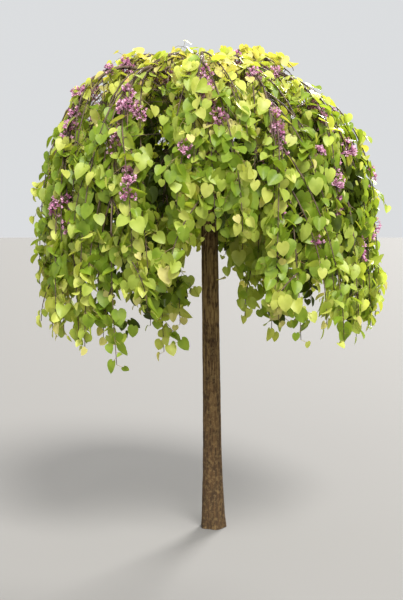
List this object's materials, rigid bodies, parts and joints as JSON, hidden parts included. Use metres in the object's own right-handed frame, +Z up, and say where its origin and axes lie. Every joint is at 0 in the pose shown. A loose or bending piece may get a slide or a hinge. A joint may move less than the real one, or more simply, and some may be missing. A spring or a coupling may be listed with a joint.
{
  "type": "weeping redbud tree",
  "caption": "Small weeping redbud with a straight clear stem and an umbrella of arching, hanging limbs in heart-shaped young leaf and lilac-pink blossom.",
  "frame": {"origin": "centre of the flat cut under the trunk, at ground level", "axes": "+Z up the trunk, +X to the tree's right side as its open front is looked at, -Y out of that open front"},
  "size_m": [1.6571, 1.6805, 2.284],
  "materials": {
    "bark": "rough furrowed bark",
    "young_bark": "smooth satin bark",
    "foliage": "soft satin leaf",
    "blossom": "soft matte petal"
  },
  "bodies": {
    "root": {"trunk": "bark", "bough_outer_01": "young_bark", "bough_outer_02": "young_bark", "bough_outer_03": "young_bark", "bough_outer_04": "young_bark", "bough_outer_05": "young_bark", "bough_outer_06": "young_bark", "bough_outer_07": "young_bark", "bough_outer_08": "young_bark", "bough_outer_09": "young_bark", "bough_outer_10": "young_bark", "bough_outer_11": "young_bark", "bough_outer_12": "young_bark", "bough_crown_01": "young_bark", "bough_crown_02": "young_bark", "bough_crown_03": "young_bark", "bough_crown_04": "young_bark", "bough_crown_05": "young_bark", "bough_crown_06": "young_bark", "bough_inner_01": "young_bark", "bough_inner_02": "young_bark", "bough_inner_03": "young_bark", "bough_inner_04": "young_bark", "foliage_outer_01": "foliage", "foliage_outer_02": "foliage", "foliage_outer_03": "foliage", "foliage_outer_04": "foliage", "foliage_outer_05": "foliage", "foliage_outer_06": "foliage", "foliage_outer_07": "foliage", "foliage_outer_08": "foliage", "foliage_outer_09": "foliage", "foliage_outer_10": "foliage", "foliage_outer_11": "foliage", "foliage_outer_12": "foliage", "foliage_crown_01": "foliage", "foliage_crown_02": "foliage", "foliage_crown_03": "foliage", "foliage_crown_04": "foliage", "foliage_crown_05": "foliage", "foliage_crown_06": "foliage", "foliage_inner_01": "foliage", "foliage_inner_02": "foliage", "foliage_inner_03": "foliage", "foliage_inner_04": "foliage"}
  },
  "joints": []
}
